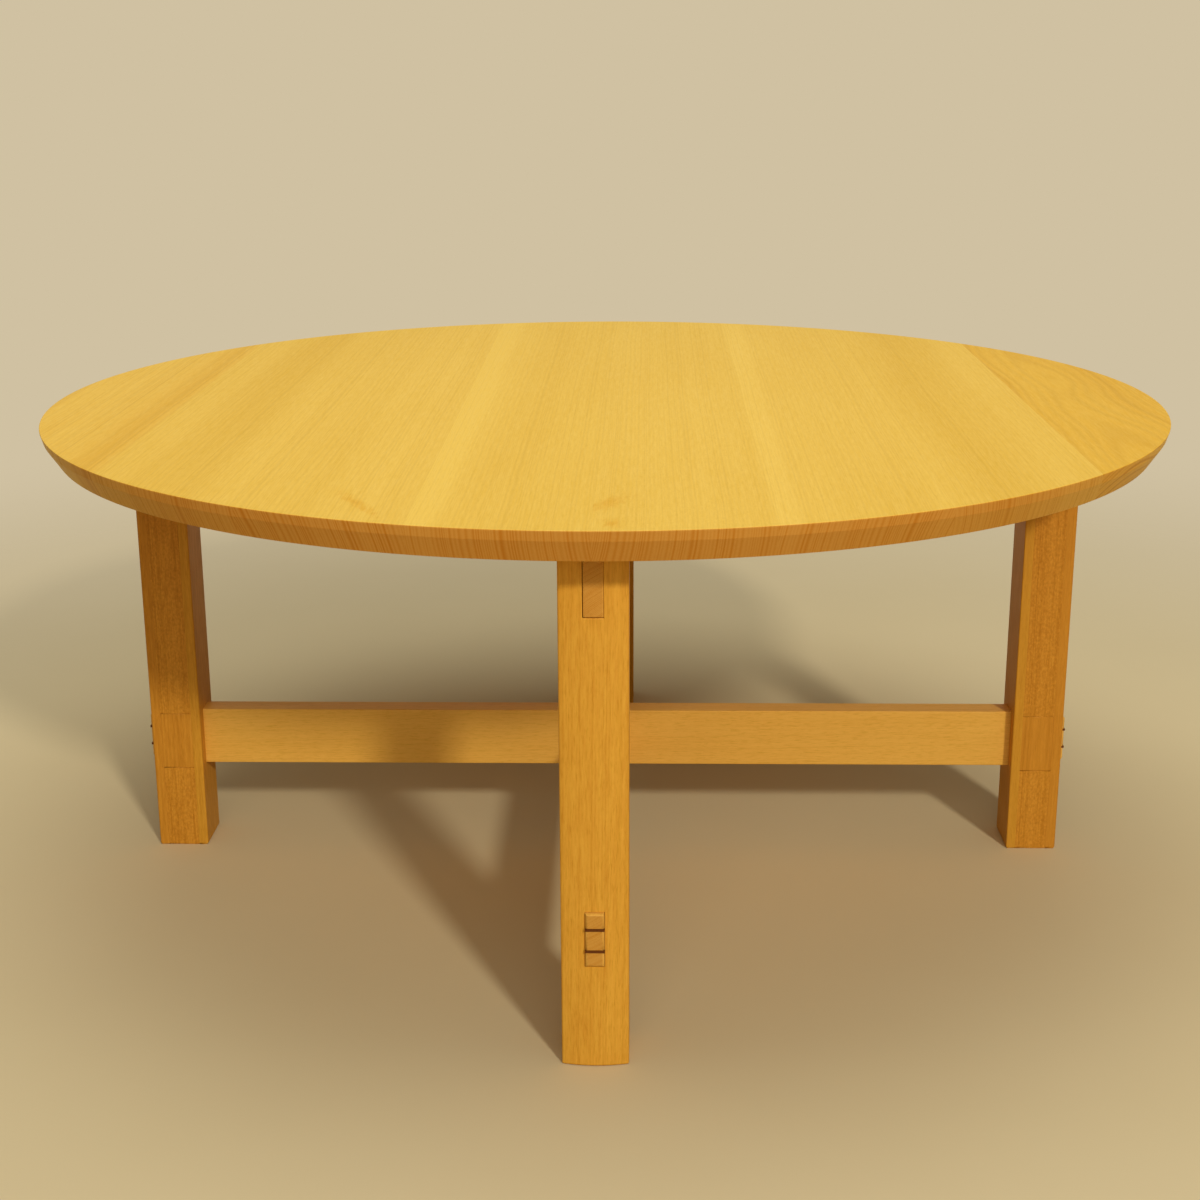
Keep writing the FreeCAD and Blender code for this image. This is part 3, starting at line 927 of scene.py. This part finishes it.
# Screws
# Eight slotted countersunk wood screws of zinc-plated steel, one up through each button. Their heads show
# fine turning marks and a grey bloom on the plating.
bloom_features = (400.0, 400.0, 400.0)
turning_features = (6000.0, 900.0, 900.0)
turning_depth = 0.02 * mm
turning_strength = 0.4
clean_roughness = 0.2
bloom_roughness = 0.3
steel = bpy.data.materials.new("zinc_plated_steel")
steel.use_nodes = True
steel_tree = steel.node_tree
steel_shader = steel_tree.nodes["Principled BSDF"]
steel_place = add(steel_tree, "ShaderNodeTexCoord").outputs["Object"]
bloom = noise(steel_tree, stretch(steel_tree, steel_place, bloom_features), 3.0).outputs["Fac"]
turning = noise(steel_tree, stretch(steel_tree, steel_place, turning_features), 1.0).outputs["Fac"]
steel_colour = blend(steel_tree, bloom, srgb(196, 194, 186), srgb(150, 148, 140))
steel_tree.links.new(steel_colour, steel_shader.inputs["Base Color"])
steel_rough = calc(steel_tree, "MULTIPLY_ADD", bloom, bloom_roughness, clean_roughness)
steel_tree.links.new(steel_rough, steel_shader.inputs["Roughness"])
steel_relief = {"Height": turning, "Distance": turning_depth, "Strength": turning_strength}
steel_bump = add(steel_tree, "ShaderNodeBump", steel_relief)
steel_tree.links.new(steel_bump.outputs["Normal"], steel_shader.inputs["Normal"])
steel_shader.inputs["Metallic"].default_value = 1.0
dress("button_screws", steel)

# Floor and light
# A plain pale floor that fades into the background, a wide soft panel overhead, a smaller soft lamp from the
# front right, a broad one from the front, and an even room light. What the camera sees of the room is pale,
# whatever light it gives, and the floor throws less light back than it shows.
backdrop = srgb(208, 193, 162)
room_tint = (1.0, 0.95, 0.86, 1.0)
room_strength = 0.20
floor_radius = 9.0
floor_corners = 64
floor_fade = (0.5, 1.8)
floor_features = (3.0, 3.0, 3.0)


def in_sight(tree):
    """1 for what the camera sees, straight or in a reflection, and 0 for light on its way round the room."""
    path = add(tree, "ShaderNodeLightPath").outputs
    mirrored = calc(tree, "MAXIMUM", path["Is Glossy Ray"], path["Is Transmission Ray"])
    return calc(tree, "MAXIMUM", path["Is Camera Ray"], mirrored)


floor_mesh = bpy.data.meshes.new("floor")
floor_angle = np.linspace(0, 2 * np.pi, floor_corners + 1)[:-1]
floor_rim = floor_radius * np.stack([np.cos(floor_angle), np.sin(floor_angle), 0 * floor_angle], 1)
floor_mesh.from_pydata(floor_rim, [], [list(range(floor_corners))])
floor = bpy.data.objects.new("floor", floor_mesh)
bpy.context.scene.collection.objects.link(floor)
floor_material = bpy.data.materials.new("pale_floor")
floor_material.use_nodes = True
floor_tree = floor_material.node_tree
floor_tree.nodes.clear()
floor_place = add(floor_tree, "ShaderNodeTexCoord").outputs["Object"]
floor_far = add(floor_tree, "ShaderNodeVectorMath", {0: floor_place}, operation="LENGTH").outputs["Value"]
fade = ramp(floor_tree, floor_far, *floor_fade)
floor_tone = noise(floor_tree, stretch(floor_tree, floor_place, floor_features), 3.0).outputs["Fac"]
floor_sight = blend(floor_tree, floor_tone, srgb(224, 207, 164), srgb(216, 198, 154))
floor_seen = in_sight(floor_tree)
floor_colour = blend(floor_tree, floor_seen, srgb(180, 161, 114), floor_sight)
paper = add(floor_tree, "ShaderNodeBsdfDiffuse", {"Color": floor_colour}).outputs[0]
clear = add(floor_tree, "ShaderNodeBsdfTransparent").outputs[0]
below = add(floor_tree, "ShaderNodeNewGeometry").outputs["Backfacing"]
hidden = calc(floor_tree, "MAXIMUM", calc(floor_tree, "MULTIPLY", fade, floor_seen), below)
floor_mix = add(floor_tree, "ShaderNodeMixShader", {0: hidden, 1: paper, 2: clear}).outputs[0]
add(floor_tree, "ShaderNodeOutputMaterial", {0: floor_mix})
floor_mesh.materials.append(floor_material)

world = bpy.data.worlds.new("studio")
bpy.context.scene.world = world
world.use_nodes = True
world_tree = world.node_tree
world_tree.nodes.clear()
room_values = {"Color": room_tint, "Strength": room_strength}
room_light = add(world_tree, "ShaderNodeBackground", room_values).outputs[0]
room_sight = add(world_tree, "ShaderNodeBackground", {"Color": backdrop, "Strength": 1.0}).outputs[0]
room_parts = {0: in_sight(world_tree), 1: room_light, 2: room_sight}
room_mix = add(world_tree, "ShaderNodeMixShader", room_parts).outputs[0]
add(world_tree, "ShaderNodeOutputWorld", {0: room_mix})

for name, shape, size, watts, tint, place, aim in (
    ("ceiling_panel", "SQUARE", 1.8, 26.5, (1.0, 0.985, 0.95), (0.0, 0.0, 2.5), (0.0, 0.0, 0.0)),
    ("soft_lamp", "DISK", 0.70, 326.0, (1.0, 0.95, 0.88), (3.03, -6.90, 4.45), (0.0, -0.376, 0.30)),
    ("front_light", "SQUARE", 4.5, 108.0, (1.0, 0.96, 0.88), (0.0, -7.17, 3.47), (0.0, -0.376, 0.30)),
):
    lamp_data = bpy.data.lights.new(name, "AREA")
    lamp_data.shape = shape
    lamp_data.size = size
    lamp_data.energy = watts
    lamp_data.color = tint
    lamp = bpy.data.objects.new(name, lamp_data)
    lamp.location = place
    lamp.rotation_euler = (Vector(place) - Vector(aim)).to_track_quat("Z", "Y").to_euler()
    bpy.context.scene.collection.objects.link(lamp)

# Camera
# It stands where the photograph was taken from, a little above the table and a step back from its front.
camera_data = bpy.data.cameras.new("camera")
camera_data.sensor_width = 36.0
camera_data.lens = 56.32
camera_data.clip_end = 100.0
camera = bpy.data.objects.new("camera", camera_data)
camera_place = Vector((28.5 * mm, -1468.3 * mm, 638.8 * mm))
camera_pitch = math.radians(-16.352)
camera_heading = math.radians(1.273)
camera_roll = math.radians(-0.235)
camera.matrix_world = (
    Matrix.Translation(camera_place)
    @ Matrix.Rotation(camera_heading, 4, "Z")
    @ Matrix.Rotation(math.radians(90) + camera_pitch, 4, "X")
    @ Matrix.Rotation(camera_roll, 4, "Z")
)
bpy.context.scene.collection.objects.link(camera)
bpy.context.scene.camera = camera
bpy.context.scene.view_settings.view_transform = "Standard"
